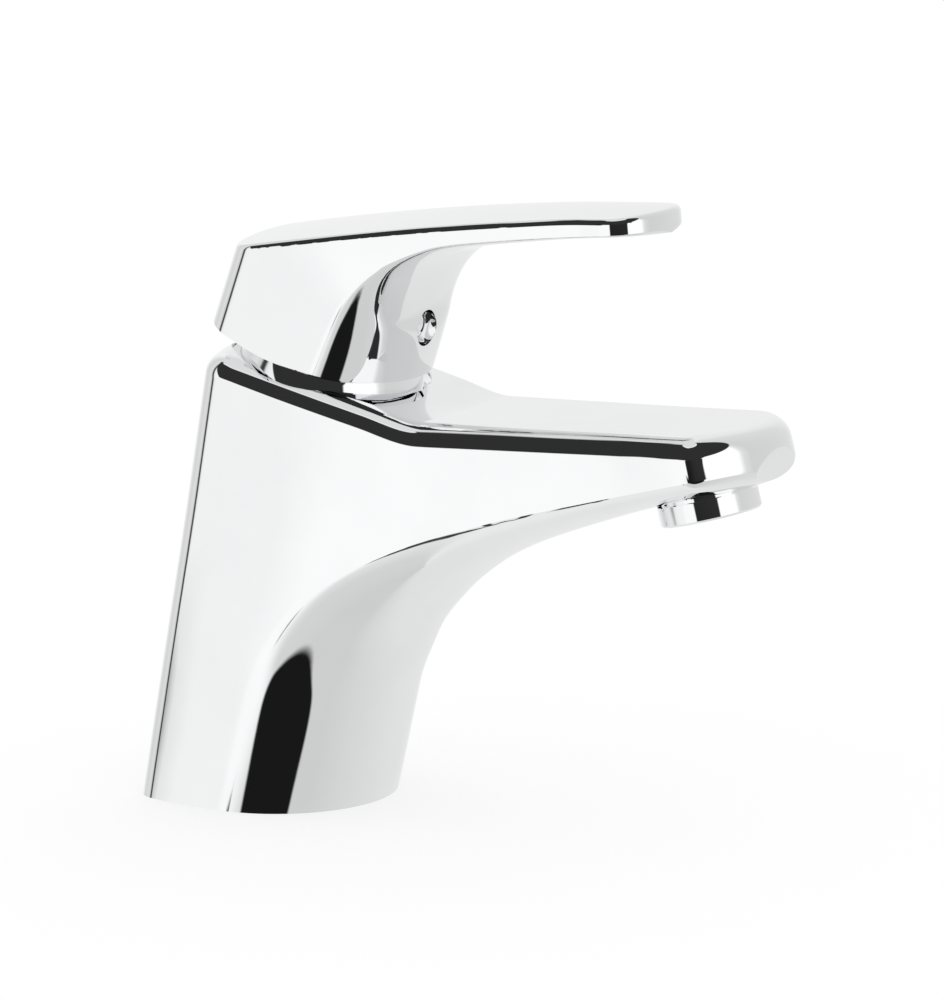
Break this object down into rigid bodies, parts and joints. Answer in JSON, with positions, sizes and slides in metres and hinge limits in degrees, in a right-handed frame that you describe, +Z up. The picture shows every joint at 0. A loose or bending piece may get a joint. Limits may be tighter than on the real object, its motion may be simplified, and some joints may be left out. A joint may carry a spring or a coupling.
{
  "type": "single-lever basin mixer faucet",
  "caption": "Chromed single-lever basin mixer: slanted column, long flat spout with aerator, lever on a ceramic cartridge that lifts for flow and swivels for temperature.",
  "frame": {"origin": "middle of the tap hole, on the deck face under the column", "axes": "+X forward along the spout, +Y to the left of someone behind the column looking along the spout, +Z up"},
  "size_m": [0.1646, 0.0584, 0.1501],
  "materials": {
    "chrome": "polished",
    "brass": "machined",
    "steel": "satin",
    "ceramic": "lapped",
    "cartridge_plastic": "moulded",
    "insert_plastic": "moulded",
    "seal_rubber": "matte"
  },
  "bodies": {
    "mixer_body": {"body_casting": "chrome", "base_seal": "seal_rubber", "cartridge_base": "cartridge_plastic", "port_seals": "seal_rubber", "disc_seal": "seal_rubber", "fixed_disc": "ceramic", "cartridge_housing": "cartridge_plastic", "chamber_seal": "seal_rubber", "limit_ring": "cartridge_plastic", "slip_washer": "steel", "retaining_nut": "brass", "dome_ring": "chrome", "aerator_housing": "chrome", "aerator_insert": "insert_plastic", "aerator_screen": "steel", "flow_regulator": "insert_plastic", "aerator_gasket": "seal_rubber"},
    "swivel": {"turret": "cartridge_plastic", "turret_seal": "seal_rubber", "stem_pin": "steel"},
    "lever": {"lever_handle": "chrome", "lever_stem": "brass", "set_screw": "steel", "index_plug": "chrome"},
    "valve_disc": {"moving_disc": "ceramic", "disc_carrier": "cartridge_plastic"}
  },
  "joints": [
    {"name": "temperature_swivel", "type": "hinge", "parent": "mixer_body", "child": "swivel", "pos_m": [0.01309, 0, 0.0998], "axis": [0.1788, 0, 0.9839], "range_deg": [-45, 45]},
    {"name": "flow_lift", "type": "hinge", "parent": "swivel", "child": "lever", "pos_m": [0.01309, 0, 0.0998], "axis": [0, -1, 0], "range_deg": [0, 11]},
    {"name": "disc_slide", "type": "slide", "parent": "swivel", "child": "valve_disc", "axis": [0.9839, 0, -0.1788], "range_m": [0, 0.0036]}
  ],
  "couplings": [
    {"joint": "disc_slide", "follows": "flow_lift", "m_per_rad": 0.018486}
  ]
}
